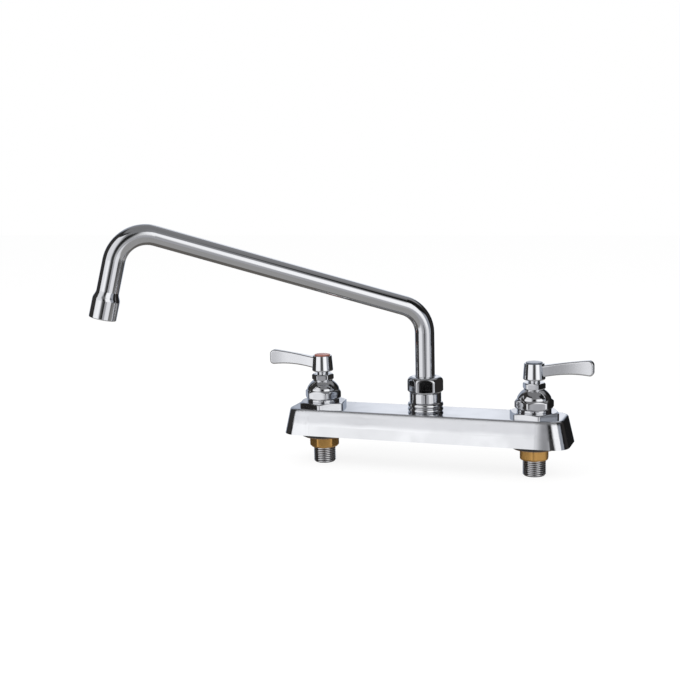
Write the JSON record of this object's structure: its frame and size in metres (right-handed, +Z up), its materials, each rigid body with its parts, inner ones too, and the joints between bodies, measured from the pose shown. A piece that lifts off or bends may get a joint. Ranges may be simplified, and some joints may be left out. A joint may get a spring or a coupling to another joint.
{
  "type": "deck mount faucet",
  "caption": "Chrome deck-mount faucet with lever valves on a sloping cast body and a high swivel spout for a commercial sink.",
  "frame": {"origin": "on the underside of the body where it rests on the deck, below the axis of the spout", "axes": "+X along the deck from the hot valve to the cold valve, +Y away from the user, +Z up"},
  "size_m": [0.4233, 0.1755, 0.2353],
  "materials": {
    "chrome": "mirror",
    "brass": "machined",
    "nickel": "satin",
    "black_rubber": "matt",
    "fibre": "matt",
    "red_plastic": "gloss",
    "grey_plastic": "gloss",
    "ceramic": "gloss",
    "white_plastic": "matt",
    "stainless": "brushed"
  },
  "bodies": {
    "root": {"deck_body": "chrome", "flange_plate_hot": "chrome", "bonnet_hot": "chrome", "packing_nut_hot": "chrome", "stem_packing_hot": "white_plastic", "seat_seal_hot": "black_rubber", "fixed_disc_hot": "ceramic", "cartridge_body_hot": "brass", "inlet_nipple_hot": "nickel", "rubber_washer_hot": "black_rubber", "metal_washer_hot": "fibre", "lock_nut_hot": "brass", "flange_plate_cold": "chrome", "bonnet_cold": "chrome", "packing_nut_cold": "chrome", "stem_packing_cold": "white_plastic", "seat_seal_cold": "black_rubber", "fixed_disc_cold": "ceramic", "cartridge_body_cold": "brass", "inlet_nipple_cold": "nickel", "rubber_washer_cold": "black_rubber", "metal_washer_cold": "fibre", "lock_nut_cold": "brass", "spout_base_ring": "chrome", "spout_post": "chrome", "spout_nut": "chrome", "glide_washer": "white_plastic"},
    "hot_lever": {"handle_hot": "chrome", "handle_screw_hot": "stainless", "index_button_hot": "red_plastic", "stem_hot": "chrome", "stem_oring_hot": "black_rubber", "moving_disc_hot": "ceramic"},
    "cold_lever": {"handle_cold": "chrome", "handle_screw_cold": "stainless", "index_button_cold": "grey_plastic", "stem_cold": "chrome", "stem_oring_cold": "black_rubber", "moving_disc_cold": "ceramic"},
    "spout": {"spout_tube": "chrome", "spout_sleeve": "brass", "spout_oring_lower": "black_rubber", "spout_oring_upper": "black_rubber", "aerator_gasket": "black_rubber", "aerator_housing": "chrome", "aerator_screen": "stainless"}
  },
  "joints": [
    {"name": "hot_turn", "type": "hinge", "parent": "root", "child": "hot_lever", "pos_m": [-0.1016, 0, 0.05], "axis": [0, 0, 1], "range_deg": [0, 90]},
    {"name": "cold_turn", "type": "hinge", "parent": "root", "child": "cold_lever", "pos_m": [0.1016, 0, 0.05], "axis": [0, 0, 1], "range_deg": [-90, 0]},
    {"name": "spout_swivel", "type": "hinge", "parent": "root", "child": "spout", "pos_m": [0, 0, 0.05], "axis": [0, 0, 1], "continuous": true}
  ]
}
